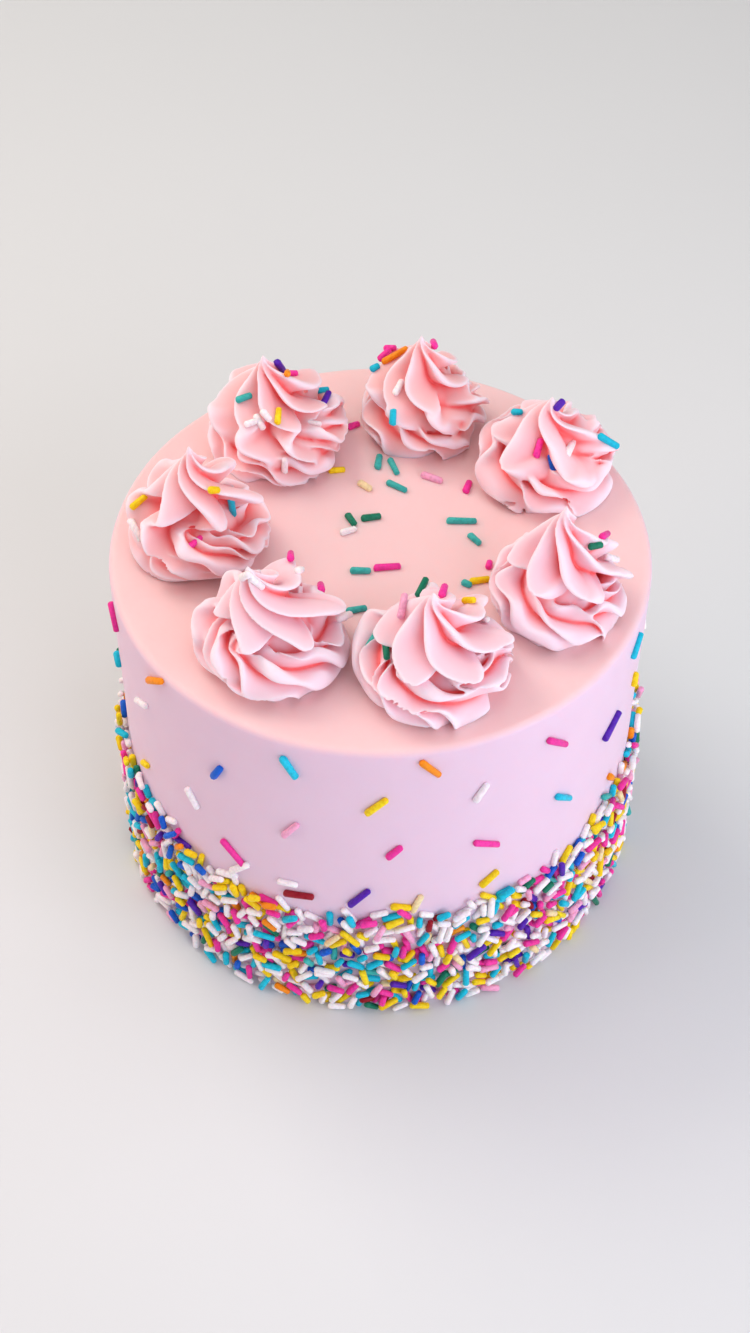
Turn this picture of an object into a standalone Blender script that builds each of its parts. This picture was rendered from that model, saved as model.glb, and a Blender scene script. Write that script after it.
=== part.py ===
"""A frosted layer cake: a smooth iced cake, seven piped swirls on its top, and sprinkles.

Units are metres and +Z is up. The origin is at the centre of the cake's underside.
Azimuths are in degrees, from the cake's front (-Y) towards its right (+X).
"""
import math
import random

import bmesh
import bpy
import numpy as np
from mathutils import Matrix, Vector
from mathutils.bvhtree import BVHTree

MM = 0.001
TURN = 2 * math.pi

# The cake: a six-inch sponge under a finger of icing
CAKE_RADIUS = 83 * MM
CAKE_HEIGHT = 129 * MM
RIM_RADIUS = 2.2 * MM
RIM_TURNS = (0, 45, 90)
CAKE_SEGMENTS = 60

# The coat of sprinkles round the foot, whose upper edge is higher at the sides
COAT_TOP = 49 * MM
COAT_RISE = 8 * MM
COAT_THICKNESS = 1.7 * MM
COAT_LUMP = 0.5 * MM
COAT_ROWS = 6
COAT_SEED = 12
COAT_SPRINKLES = 92
COAT_FOOT_MARGIN = 5 * MM

# A sprinkle: a short sugar rod with round ends
ROD_RADIUS = 1.2 * MM
ROD_LENGTH = 7 * MM
ROD_SIDES = 6
ROD_END = 0.6 * ROD_RADIUS
ROD_SINK = 0.45

# A swirl: a rope of star section, laid in a ring and then drawn up to a tip
SWIRL_GAP = 0.3 * MM
SWIRL_RING = 12.8 * MM
SWIRL_ROPE = 9.2 * MM
SWIRL_CROWN = 17 * MM
SWIRL_CROWN_SHARE = 0.5
SWIRL_FOOT = 5.5 * MM
SWIRL_TIP = 0.4 * MM
SWIRL_TAPER = 1.35
SWIRL_WIDTH = 43.5 * MM
SWIRL_TURNS = 1.7
SWIRL_TWIST = math.radians(130)
SWIRL_STEPS = 260
SWIRL_SIDES = 126
SWIRL_VOXEL = 0.9 * MM
SWIRL_TRIANGLES = 560

# Where along the rope its ring closes in, its ridges change from foot to crown, and its crown starts
RING_END = 0.40
RIDGE_CHANGE = (0.36, 0.56)
CROWN_GROWN = 0.62
CROWN_START = 0.66

# The rope's lean from upright, at its start and where its ring closes in
ROPE_LEANS = (35, 43)

# The ridges round the rope: their number, steep share, hollowness and depth, at the foot and crown
FOOT_RIDGES = (9, 0.25, 1.2, 0.60)
CROWN_RIDGES = (6, 0.16, 1.5, 0.78)
RIDGE_BLUNT = 0.13
FOOT_RIDGE_LEAN = 0.2
RIDGE_UNEVENNESS = (0.16, 0.08)

# Each swirl: azimuth, distance from the cake's axis, width, height, tip's shift and first ridge
SWIRLS = [
    ("swirl_1", 216.5, 54.8, 44.6, 38, (-4.0, 0.0), 24),
    ("swirl_2", 166.0, 56.0, 39.8, 38, (-1.5, 0.0), 65),
    ("swirl_3", 121.5, 61.0, 44.3, 33, (0.0, 0.0), 110),
    ("swirl_4", 64.0, 58.6, 40.4, 43, (0.0, 0.0), 160),
    ("swirl_5", 16.0, 55.6, 46.4, 36, (-0.5, 0.0), 205),
    ("swirl_6", 325.3, 54.8, 45.4, 37, (-6.0, 0.0), 250),
    ("swirl_7", 271.5, 54.3, 43.3, 42, (-2.0, 0.0), 297),
]

# Loose sprinkles on the flat top: x, y and length in millimetres, and turn in degrees from +X
TOP_SPRINKLES = [
    (-3, 11, 7, 12), (-9, 10, 6, -60), (-10, 5, 6, 25), (25, 10, 10, 0), (29, 2, 6, -50),
    (33, -9, 4, 80), (26, -17, 3, -30), (30, -15.5, 7, 12), (-6, -12, 7, 0), (2, -10, 9, 8),
    (-7, -28, 7, 15), (-1, 36, 7, 85), (4, 34, 8, -70), (5, 25, 8, -32), (-5, 25, 6, -40),
    (16, 29, 8, -25), (-14, 32, 6, 8), (27, 25, 6, 75), (-9, 53, 5, 30),
]

# Loose sprinkles on the side: azimuth, height and length in millimetres, and lean from level
SIDE_SPRINKLES = [
    (308, 117, 6, 20), (293, 100, 6, -30), (302, 103, 5, -5), (301, 73, 6, 10), (325, 102, 5, 65),
    (318, 87, 7, -40), (342, 118, 8, -50), (342, 90, 6, 55), (330, 72, 10, -40), (313, 61, 9, -10),
    (344, 57, 10, 0), (356, 60, 8, 48), (0, 106, 8, 42), (3, 84, 6, 46), (10, 121, 7, -45),
    (21, 107, 7, 50), (23, 83, 7, -12), (24, 66, 8, 35), (37, 115, 7, -35), (42, 89, 7, -30),
    (56, 104, 11, 40), (64, 105, 6, 80), (57, 75, 6, -30), (42, 60, 7, 70), (286, 120, 10, -41),
    (67, 120, 8, 40), (90, 96, 7, 40), (104, 78, 6, -20), (118, 110, 7, 70), (131, 66, 7, 15),
    (146, 92, 6, -55), (160, 118, 7, 25), (173, 74, 7, -75), (188, 101, 6, 10), (203, 84, 7, 50),
    (217, 114, 6, -35), (231, 68, 7, 80), (246, 97, 7, -10), (259, 119, 6, 45), (272, 79, 7, -60),
]

# Sprinkles on a swirl: direction from its centre, distance out in millimetres, turn and length
SWIRL_SPRINKLES = {
    "swirl_1": [(195, 9, 30, 6), (300, 10, 80, 7), (95, 15, 60, 6), (345, 17, 80, 7)],
    "swirl_2": [(190, 8, 25, 9), (240, 14, 70, 6), (330, 12, 75, 6), (60, 12, 40, 6)],
    "swirl_3": [(150, 11, 80, 8), (250, 9, 75, 7), (350, 11, 60, 9), (40, 15, -40, 7)],
    "swirl_4": [(60, 13, 25, 5), (95, 17, 60, 7), (30, 19, 0, 6)],
    "swirl_5": [(250, 15, 60, 9), (280, 13, -85, 8), (90, 11, -30, 7), (150, 15, 70, 7)],
    "swirl_6": [(170, 13, 20, 6), (90, 13, 85, 7), (40, 15, 50, 6), (126, 17, 20, 6)],
    "swirl_7": [(250, 17, 50, 7), (20, 11, -80, 9), (290, 12, 50, 7), (130, 9, 0, 5)],
}

ICING_COLOUR = (0.93, 0.66, 0.66, 1)
SWIRL_COLOUR = (0.95, 0.58, 0.60, 1)
ICING_ROUGHNESS = 0.55


def clear_scene():
    """Remove the objects that a new file starts with"""
    for old in list(bpy.data.objects):
        bpy.data.objects.remove(old)


def make_material(name, colour, roughness):
    """A plain coloured finish"""
    finish = bpy.data.materials.new(name)
    finish.use_nodes = True
    shader = finish.node_tree.nodes["Principled BSDF"]
    shader.inputs["Base Color"].default_value = colour
    shader.inputs["Roughness"].default_value = roughness
    shader.inputs["Metallic"].default_value = 0
    return finish


def add_object(name, mesh, finish):
    """Link a mesh to the scene as a named object with one finish"""
    piece = bpy.data.objects.new(name, mesh)
    bpy.context.scene.collection.objects.link(piece)
    mesh.materials.clear()
    mesh.materials.append(finish)
    return piece


def apply_modifiers(piece):
    """Turn what the modifiers give into the object's own mesh"""
    graph = bpy.context.evaluated_depsgraph_get()
    finished = bpy.data.meshes.new_from_object(piece.evaluated_get(graph))
    piece.modifiers.clear()
    piece.data = finished


def keep_largest_shell(piece):
    """Drop every loose scrap and every sealed hollow: only the largest closed skin stays"""
    skin = bmesh.new()
    skin.from_mesh(piece.data)
    left = set(skin.verts)
    largest = []
    while left:
        shell = []
        front = [left.pop()]
        while front:
            vert = front.pop()
            shell.append(vert)
            for edge in vert.link_edges:
                other = edge.other_vert(vert)
                if other in left:
                    left.discard(other)
                    front.append(other)
        if len(shell) > len(largest):
            largest = shell
    kept = set(largest)
    bmesh.ops.delete(skin, geom=[v for v in skin.verts if v not in kept], context="VERTS")
    skin.to_mesh(piece.data)
    skin.free()


def around(azimuth, radius):
    """The x and y of a point at an azimuth and a distance from the axis"""
    angle = math.radians(azimuth)
    return radius * math.sin(angle), -radius * math.cos(angle)


# The cake

def cake_profile():
    """The cake's outline from its foot to the edge of its flat top.

    Each point has a radius, a height, how lumpy it is, and its share of the coat's rise.
    """
    coat = CAKE_RADIUS + COAT_THICKNESS
    outline = [(coat - 0.5 * COAT_THICKNESS, 0, 0, 0)]
    for row in range(1, COAT_ROWS + 1):
        share = (row - 0.5) / COAT_ROWS
        outline.append((coat, COAT_TOP * share, COAT_LUMP, share))
    outline.append((CAKE_RADIUS, COAT_TOP + COAT_THICKNESS, 0, 1))
    for degrees in RIM_TURNS:
        angle = math.radians(degrees)
        radius = CAKE_RADIUS - RIM_RADIUS * (1 - math.cos(angle))
        height = CAKE_HEIGHT - RIM_RADIUS * (1 - math.sin(angle))
        outline.append((radius, height, 0, 0))
    return outline


def coat_rise(azimuth):
    """How much higher the coat's edge is at an azimuth than in front"""
    return COAT_RISE * math.sin(math.radians(azimuth)) ** 2


def make_cake(finish):
    """A turned body whose sprinkle coat is lumpy"""
    draw = random.Random(COAT_SEED)
    skin = bmesh.new()
    rings = []
    for radius, height, lump, share in cake_profile():
        ring = []
        for step in range(CAKE_SEGMENTS):
            azimuth = 360 * step / CAKE_SEGMENTS
            x, y = around(azimuth, radius + lump * draw.uniform(-1, 1))
            ring.append(skin.verts.new((x, y, height + share * coat_rise(azimuth))))
        rings.append(ring)
    for low, high in zip(rings, rings[1:]):
        for step in range(CAKE_SEGMENTS):
            after = (step + 1) % CAKE_SEGMENTS
            skin.faces.new((low[step], low[after], high[after], high[step]))
    skin.faces.new(reversed(rings[0]))
    skin.faces.new(rings[-1])
    mesh = bpy.data.meshes.new("cake")
    skin.to_mesh(mesh)
    skin.free()
    return add_object("cake", mesh, finish)


# Sprinkles

def add_rod(collection, place, length, finish):
    """A sugar rod along its own x axis, set into the scene by a matrix"""
    skin = bmesh.new()
    half = length / 2
    rings = []
    for x in (ROD_END - half, half - ROD_END):
        ring = []
        for side in range(ROD_SIDES):
            angle = TURN * side / ROD_SIDES
            point = Vector((x, ROD_RADIUS * math.cos(angle), ROD_RADIUS * math.sin(angle)))
            ring.append(skin.verts.new(place @ point))
        rings.append(ring)
    for side in range(ROD_SIDES):
        after = (side + 1) % ROD_SIDES
        skin.faces.new((rings[0][side], rings[1][side], rings[1][after], rings[0][after]))
    for ring, x in zip(rings, (-half, half)):
        end = skin.verts.new(place @ Vector((x, 0, 0)))
        for side in range(ROD_SIDES):
            skin.faces.new((ring[side], ring[(side + 1) % ROD_SIDES], end))
    bmesh.ops.recalc_face_normals(skin, faces=skin.faces)
    mesh = bpy.data.meshes.new("rod")
    skin.to_mesh(mesh)
    skin.free()
    rod = bpy.data.objects.new("rod", mesh)
    rod.data.materials.append(finish)
    collection.objects.link(rod)


def lying_on(point, normal, along):
    """The place of a rod that lies on a surface at a point, turned to follow a direction"""
    up = normal.normalized()
    ahead = (along - up * along.dot(up)).normalized()
    side = up.cross(ahead)
    centre = point + up * ROD_RADIUS * (1 - 2 * ROD_SINK)
    frame = Matrix((ahead, side, up)).transposed().to_4x4()
    return Matrix.Translation(centre) @ frame


def fuse(piece, collection):
    """Join a collection's rods to an object, and remove them"""
    union = piece.modifiers.new("sprinkles", "BOOLEAN")
    union.operation = "UNION"
    union.operand_type = "COLLECTION"
    union.collection = collection
    union.solver = "EXACT"
    apply_modifiers(piece)
    for rod in list(collection.objects):
        bpy.data.objects.remove(rod)
    bpy.data.collections.remove(collection)
    keep_largest_shell(piece)


def new_collection(name):
    """A collection in the scene for the rods of one object"""
    collection = bpy.data.collections.new(name)
    bpy.context.scene.collection.children.link(collection)
    return collection


def side_place(azimuth, height, lean, radius):
    """The place of a rod on the cake's upright side"""
    x, y = around(azimuth, 1)
    out = Vector((x, y, 0))
    level = Vector((-y, x, 0))
    tilt = math.radians(lean)
    along = level * math.cos(tilt) + Vector((0, 0, math.sin(tilt)))
    return lying_on(out * radius + Vector((0, 0, height)), out, along)


def add_cake_sprinkles(cake, finish):
    """The loose rods on the top and side, and the largest of those in the coat"""
    rods = new_collection("cake_sprinkles")
    for x, y, length, turn in TOP_SPRINKLES:
        angle = math.radians(turn)
        along = Vector((math.cos(angle), math.sin(angle), 0))
        place = lying_on(Vector((x * MM, y * MM, CAKE_HEIGHT)), Vector((0, 0, 1)), along)
        add_rod(rods, place, length * MM, finish)
    for azimuth, height, length, lean in SIDE_SPRINKLES:
        add_rod(rods, side_place(azimuth, height * MM, lean, CAKE_RADIUS), length * MM, finish)
    draw = random.Random(COAT_SEED + 1)
    golden_angle = 180 * (3 - math.sqrt(5))
    radius = CAKE_RADIUS + COAT_THICKNESS
    for count in range(COAT_SPRINKLES):
        azimuth = golden_angle * count
        reach = COAT_TOP + coat_rise(azimuth) - COAT_FOOT_MARGIN
        height = COAT_FOOT_MARGIN + reach * (count + 0.5) / COAT_SPRINKLES
        place = side_place(azimuth, height, draw.uniform(-70, 70), radius)
        add_rod(rods, place, ROD_LENGTH * draw.uniform(0.9, 1.1), finish)
    fuse(cake, rods)


# Swirls

def ease(start, end, value):
    """0 before start, 1 after end, and a smooth rise between them"""
    share = np.clip((value - start) / (end - start), 0, 1)
    return share * share * (3 - 2 * share)


def course(along, stops, blur=0.03):
    """A smooth curve through (place, value) stops"""
    places = [stop[0] for stop in stops]
    values = [stop[1] for stop in stops]
    shifts = np.linspace(-1.5, 1.5, 9)
    weights = np.exp(-shifts ** 2)
    weights /= weights.sum()
    return sum(w * np.interp(along + blur * s, places, values) for w, s in zip(weights, shifts))


def ridge(phase, steep, hollow, blunt):
    """A ridge's section: 1 on its rim, a long hollow fall on one side, a steep one on the other"""
    shifts = np.linspace(-1.6, 1.6, 9)
    weights = np.exp(-shifts ** 2)
    weights /= weights.sum()

    def sharp(value):
        value = value % 1.0
        fall = np.clip(1 - value / (1 - steep), 0, 1) ** hollow
        return np.maximum(fall, ease(1 - steep, 1, value))

    def soft(value):
        return sum(w * sharp(value + blunt * s) for w, s in zip(weights, shifts))

    whole = soft(np.linspace(0, 1, 200))
    return (soft(phase) - whole.min()) / (whole.max() - whole.min())


def rope_course(along, height):
    """The rope's distance from the swirl's axis, its height and its radius over the ridges"""
    crown = SWIRL_CROWN_SHARE * height
    climb = np.clip((along - CROWN_START) / (1 - CROWN_START), 0, 1)
    ring = course(along, [(0, SWIRL_RING), (RING_END, SWIRL_RING), (CROWN_GROWN, 3 * MM),
                          (0.7, 1.5 * MM), (1, 0)])
    level = course(along, [(0, SWIRL_FOOT), (0.25, SWIRL_FOOT + 1 * MM),
                           (0.42, SWIRL_FOOT + 4 * MM), (CROWN_GROWN, crown)], 0.02)
    level = level + (height - crown) * climb
    size = course(along, [(0, 0.5 * SWIRL_ROPE), (0.06, 0.95 * SWIRL_ROPE),
                          (RING_END, SWIRL_ROPE), (CROWN_GROWN, SWIRL_CROWN)], 0.02)
    size = size * (1 - climb) ** SWIRL_TAPER + SWIRL_TIP
    return climb, ring, level, size


def ridge_crest(section, upper, draw):
    """How far the ridges stand out round the rope, and how deep the hollows between them are"""
    slow, quick = RIDGE_UNEVENNESS
    uneven = section + slow * np.sin(section + draw.uniform(0, TURN))
    uneven = uneven + quick * np.sin(2 * section + draw.uniform(0, TURN))
    low_count, low_steep, low_hollow, low_depth = FOOT_RIDGES
    high_count, high_steep, high_hollow, high_depth = CROWN_RIDGES
    foot = ridge(low_count * uneven / TURN, low_steep, low_hollow, RIDGE_BLUNT)
    crown = ridge(high_count * uneven / TURN, high_steep, high_hollow, RIDGE_BLUNT)
    return foot + (crown - foot) * upper, low_depth + (high_depth - low_depth) * upper


def swirl_points(height, shift, first, seed):
    """The rope's skin: rings of points from its start on the cake to the swirl's tip"""
    draw = np.random.default_rng(seed)
    along = np.linspace(0, 1, SWIRL_STEPS)[:, None]
    section = np.linspace(0, TURN, SWIRL_SIDES, endpoint=False)[None, :]
    heading = math.radians(first) - TURN * SWIRL_TURNS * np.minimum(along / CROWN_START, 1)
    climb, ring, level, size = rope_course(along, height)
    tilt = np.radians(course(along, [(0, ROPE_LEANS[0]), (RING_END, ROPE_LEANS[1]), (0.60, 90),
                                     (1, 90)]))
    upper = ease(*RIDGE_CHANGE, along)
    crest, depth = ridge_crest(section, upper, draw)
    reach = size * (1 - depth + depth * crest)
    angle = section - FOOT_RIDGE_LEAN * crest * (1 - upper) - SWIRL_TWIST * climb - heading
    out = np.stack([np.cos(heading), np.sin(heading), 0 * heading], -1)
    back = np.stack([np.sin(heading), -np.cos(heading), 0 * heading], -1)
    up = np.array([0, 0, 1.0])
    across = np.cos(tilt)[..., None] * up - np.sin(tilt)[..., None] * back
    middle = ring[..., None] * out + level[..., None] * up
    points = middle + (reach * np.cos(angle))[..., None] * out
    points = points + (reach * np.sin(angle))[..., None] * across
    lift = ease(0.55, 1.0, points[..., 2] / height)
    points[..., 0] += shift[0] * lift
    points[..., 1] += shift[1] * lift
    points[..., 2] = np.maximum(points[..., 2], 0)
    return points


def rope_mesh(name, points):
    """A closed skin over rings of points"""
    steps, sides = points.shape[:2]
    index = np.arange(steps * sides).reshape(steps, sides)
    low = index[:-1]
    high = index[1:]
    quads = np.stack([low, np.roll(low, -1, 1), np.roll(high, -1, 1), high], -1).reshape(-1, 4)
    faces = quads.tolist() + [index[0, ::-1].tolist(), index[-1].tolist()]
    mesh = bpy.data.meshes.new(name)
    mesh.from_pydata(points.reshape(-1, 3).tolist(), [], faces)
    mesh.update()
    return mesh


def make_swirl(number, name, azimuth, distance, width, height, shift, first, finish):
    """One swirl: the rope's turns joined into one skin, then thinned to few triangles"""
    points = swirl_points(height * MM, Vector(shift) * MM, first, number)
    points[..., :2] *= width * MM / SWIRL_WIDTH
    piece = add_object(name, rope_mesh(name, points), finish)
    skin = piece.modifiers.new("skin", "REMESH")
    skin.mode = "VOXEL"
    skin.voxel_size = SWIRL_VOXEL
    soften = piece.modifiers.new("soften", "SMOOTH")
    soften.factor = 0.5
    soften.iterations = 2
    apply_modifiers(piece)
    keep_largest_shell(piece)
    thin = piece.modifiers.new("thin", "DECIMATE")
    triangles = sum(len(face.vertices) - 2 for face in piece.data.polygons)
    thin.ratio = SWIRL_TRIANGLES / triangles
    apply_modifiers(piece)
    x, y = around(azimuth, distance * MM)
    low = min(vert.co.z for vert in piece.data.vertices)
    piece.data.transform(Matrix.Translation((x, y, CAKE_HEIGHT + SWIRL_GAP - low)))
    return piece, Vector((x, y, 0))


def add_swirl_sprinkles(piece, centre, finish):
    """Rods on a swirl, each let down from above until it lies on the icing"""
    surface = BVHTree.FromObject(piece, bpy.context.evaluated_depsgraph_get())
    rods = new_collection(piece.name + "_sprinkles")
    for direction, distance, turn, length in SWIRL_SPRINKLES[piece.name]:
        x, y = around(direction, distance * MM)
        above = centre + Vector((x, y, 2 * CAKE_HEIGHT))
        point, normal, _, _ = surface.ray_cast(above, Vector((0, 0, -1)))
        angle = math.radians(turn)
        along = Vector((math.cos(angle), math.sin(angle), 0))
        add_rod(rods, lying_on(point, normal, along), length * MM, finish)
    fuse(piece, rods)


def main():
    clear_scene()
    icing = make_material("icing", ICING_COLOUR, ICING_ROUGHNESS)
    piped_icing = make_material("piped_icing", SWIRL_COLOUR, ICING_ROUGHNESS)
    cake = make_cake(icing)
    add_cake_sprinkles(cake, icing)
    for number, values in enumerate(SWIRLS, start=1):
        piece, centre = make_swirl(number, *values, piped_icing)
        add_swirl_sprinkles(piece, centre, piped_icing)


main()
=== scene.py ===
"""The looks of a frosted layer cake: smooth pink icing, piped swirls and sugar sprinkles.

Units are metres and +Z is up. Azimuths are in degrees, from the cake's front (-Y) towards +X.
"""
import math

import bpy
import numpy as np
from bpy.props import FloatProperty, FloatVectorProperty, IntProperty, PointerProperty
from mathutils import Matrix, Vector
from mathutils.bvhtree import BVHTree


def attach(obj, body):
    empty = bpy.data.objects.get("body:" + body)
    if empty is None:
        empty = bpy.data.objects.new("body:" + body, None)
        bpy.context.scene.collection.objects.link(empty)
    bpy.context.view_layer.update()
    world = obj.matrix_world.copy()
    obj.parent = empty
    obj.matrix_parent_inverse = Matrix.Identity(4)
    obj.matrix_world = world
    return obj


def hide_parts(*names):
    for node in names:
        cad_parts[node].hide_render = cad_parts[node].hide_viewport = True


bl_info = {
    "name": "Frosted layer cake",
    "version": (1, 0, 0),
    "blender": (4, 5, 0),
    "location": "View3D > Sidebar > Cake",
    "description": "Builds a frosted layer cake with piped swirls and sprinkles",
    "category": "Add Mesh",
}

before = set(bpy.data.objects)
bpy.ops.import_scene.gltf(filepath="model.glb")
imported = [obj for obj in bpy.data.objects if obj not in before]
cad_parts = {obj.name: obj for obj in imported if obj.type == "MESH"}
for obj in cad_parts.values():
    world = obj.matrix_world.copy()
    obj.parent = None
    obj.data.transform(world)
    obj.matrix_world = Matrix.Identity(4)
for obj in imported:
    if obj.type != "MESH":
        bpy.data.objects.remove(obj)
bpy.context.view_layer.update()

MM = 0.001
TAU = 2 * math.pi
BODY = "root"

# The photograph's frame, in pixels, and the view that was fitted to it
PHOTO_WIDTH = 750
PHOTO_HEIGHT = 1333
CAMERA_FOCAL_PIXELS = 2139
SENSOR = 36.0

CAKE_RADIUS = 83 * MM
CAKE_HEIGHT = 129 * MM

# How fine the meshes are: faces round the cake and up its side, points along and round a rope,
# rounds of smoothing, faces round and along a sprinkle, and sprinkles thrown for each layer
CAKE_SEGMENTS, CAKE_ROWS = 288, 64
ROPE_STEPS, ROPE_SIDES = 700, 324
SOFTENING = 12
ROD_SEGMENTS, ROD_RINGS = 8, 6
COAT_TRIES = 12000
# Blotches and pits of the icing in a metre
BLOTCHES, PITS = 70, 2200
FLOOR_HALF = 3.0
CORNERS = ((-1, -1), (1, -1), (1, 1), (-1, 1))

# Each swirl: node, azimuth, distance from the axis, width, height, tip's shift, first ridge and
# how far its icing is painted towards the cool fill light's colour, high on the swirls that face it
SWIRLS = [
    ("swirl_1", 216.5, 54.8, 44.6, 38, (-4.0, 0.0), 24, 0.2),
    ("swirl_2", 166.0, 56.0, 39.8, 38, (-1.5, 0.0), 65, 0.0),
    ("swirl_3", 121.5, 61.0, 44.3, 33, (0.0, 0.0), 110, 0.55),
    ("swirl_4", 64.0, 58.6, 40.4, 43, (0.0, 0.0), 160, 1.0),
    ("swirl_5", 16.0, 55.6, 46.4, 36, (-0.5, 0.0), 205, 1.0),
    ("swirl_6", 325.3, 54.8, 45.4, 37, (-6.0, 0.0), 250, 0.9),
    ("swirl_7", 271.5, 54.3, 43.3, 42, (-2.0, 0.0), 297, 0.2),
]
SWIRL_WIDTH = 43.5 * MM

# Each soft light: name, place, size, power and colour
SOFTBOXES = [
    ("key", (-0.55, 0.45, 0.95), 0.6, 4.8, (1.0, 0.90, 0.80)),
    ("fill", (0.65, -0.75, 0.45), 1.0, 8.5, (0.88, 0.86, 1.0)),
    ("left", (-0.9, -0.1, 0.5), 0.7, 3.6, (1.0, 0.71, 0.67)),
    ("right", (0.9, 0.1, 0.5), 0.7, 1.5, (0.95, 0.93, 1.0)),
    ("top", (0.0, 0.1, 1.2), 0.9, 3.2, (1.0, 0.95, 0.92)),
]

# Sprinkle colours, with the share that each has of the coat
SPRINKLE_COLOURS = {
    "white": ((0.98, 0.94, 0.96), 0.38),
    "pink": ((0.88, 0.04, 0.36), 0.125),
    "rose": ((0.92, 0.42, 0.62), 0.07),
    "yellow": ((0.95, 0.68, 0.004), 0.19),
    "cream": ((0.92, 0.76, 0.42), 0.02),
    "orange": ((0.95, 0.30, 0.005), 0.03),
    "turquoise": ((0.004, 0.55, 0.73), 0.13),
    "teal": ((0.04, 0.46, 0.42), 0.02),
    "green": ((0.002, 0.20, 0.11), 0.02),
    "blue": ((0.002, 0.12, 0.64), 0.04),
    "purple": ((0.09, 0.012, 0.42), 0.03),
    "crimson": ((0.30, 0.002, 0.015), 0.022),
}

# Loose sprinkles on the flat top: colour, x, y and length in millimetres, and turn from +X
TOP_SPRINKLES = [
    ("green", -3, 11, 7, 12), ("green", -9, 10, 6, -60), ("white", -10, 5, 6, 25),
    ("teal", 25, 10, 10, 0), ("teal", 29, 2, 6, -50), ("pink", 33, -9, 4, 80),
    ("teal", 26, -17, 4, -30), ("yellow", 30, -15.5, 7, 12), ("teal", -6, -12, 7, 0),
    ("pink", 2, -10, 9, 8), ("teal", -7, -28, 7, 15), ("teal", -1, 36, 7, 85),
    ("teal", 4, 34, 8, -70), ("teal", 5, 25, 8, -32), ("cream", -5, 25, 6, -40),
    ("rose", 16, 29, 8, -25), ("yellow", -14, 32, 6, 8), ("pink", 27, 25, 6, 75),
    ("pink", -9, 53, 5, 30),
]

# Loose sprinkles on the far side: colour, azimuth, height and length in millimetres, and lean
SIDE_SPRINKLES = [
    ("pink", 286, 120, 10, -41), ("turquoise", 283, 96, 6, -30), ("turquoise", 67, 120, 9, 40),
    ("yellow", 70, 100, 6, 80), ("white", 90, 96, 7, 40), ("blue", 104, 78, 6, -20),
    ("yellow", 118, 110, 7, 70), ("pink", 131, 66, 7, 15), ("teal", 146, 92, 6, -55),
    ("white", 160, 118, 7, 25), ("orange", 173, 74, 7, -75), ("purple", 188, 101, 6, 10),
    ("white", 203, 84, 7, 50), ("turquoise", 217, 114, 6, -35), ("pink", 231, 68, 7, 80),
    ("yellow", 246, 97, 7, -10), ("white", 259, 119, 6, 45), ("green", 272, 79, 7, -60),
]

# Loose sprinkles on the near side: colour, pixel x and y in the photograph, turn there, length
NEAR_SPRINKLES = [
    ("orange", 156, 679, -3, 7), ("white", 143, 702, -25, 6), ("yellow", 147, 763, -25, 4),
    ("blue", 218, 771, 50, 5), ("turquoise", 290, 766, -55, 8), ("white", 194, 797, -62, 8),
    ("rose", 290, 828, 40, 6), ("purple", 179, 837, -35, 10), ("pink", 234, 851, -50, 11),
    ("white", 288, 881, -12, 7), ("crimson", 299, 893, -8, 10), ("yellow", 280, 905, -20, 8),
    ("purple", 358, 896, 38, 8), ("yellow", 376, 805, 35, 8), ("pink", 394, 851, 38, 6),
    ("yellow", 401, 905, -3, 7), ("cream", 416, 902, 60, 6), ("orange", 430, 767, -35, 7),
    ("white", 480, 791, 55, 7), ("pink", 486, 842, -3, 8), ("yellow", 488, 877, 42, 8),
    ("turquoise", 497, 898, 12, 7), ("turquoise", 503, 890, 27, 6), ("pink", 556, 741, -12, 7),
    ("turquoise", 562, 796, -5, 6), ("white", 553, 857, 75, 5), ("teal", 548, 877, -5, 7),
    ("orange", 609, 776, -20, 4), ("purple", 610, 725, 62, 11), ("crimson", 529, 903, -35, 8),
    ("turquoise", 606, 809, 15, 6), ("purple", 600, 817, 0, 7), ("yellow", 596, 824, 30, 7),
    ("turquoise", 578, 842, 65, 7), ("white", 240, 866, 20, 7), ("white", 228, 872, -15, 7),
    ("white", 236, 876, -70, 5), ("blue", 178, 876, 45, 8), ("crimson", 143, 796, -60, 5),
]

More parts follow.
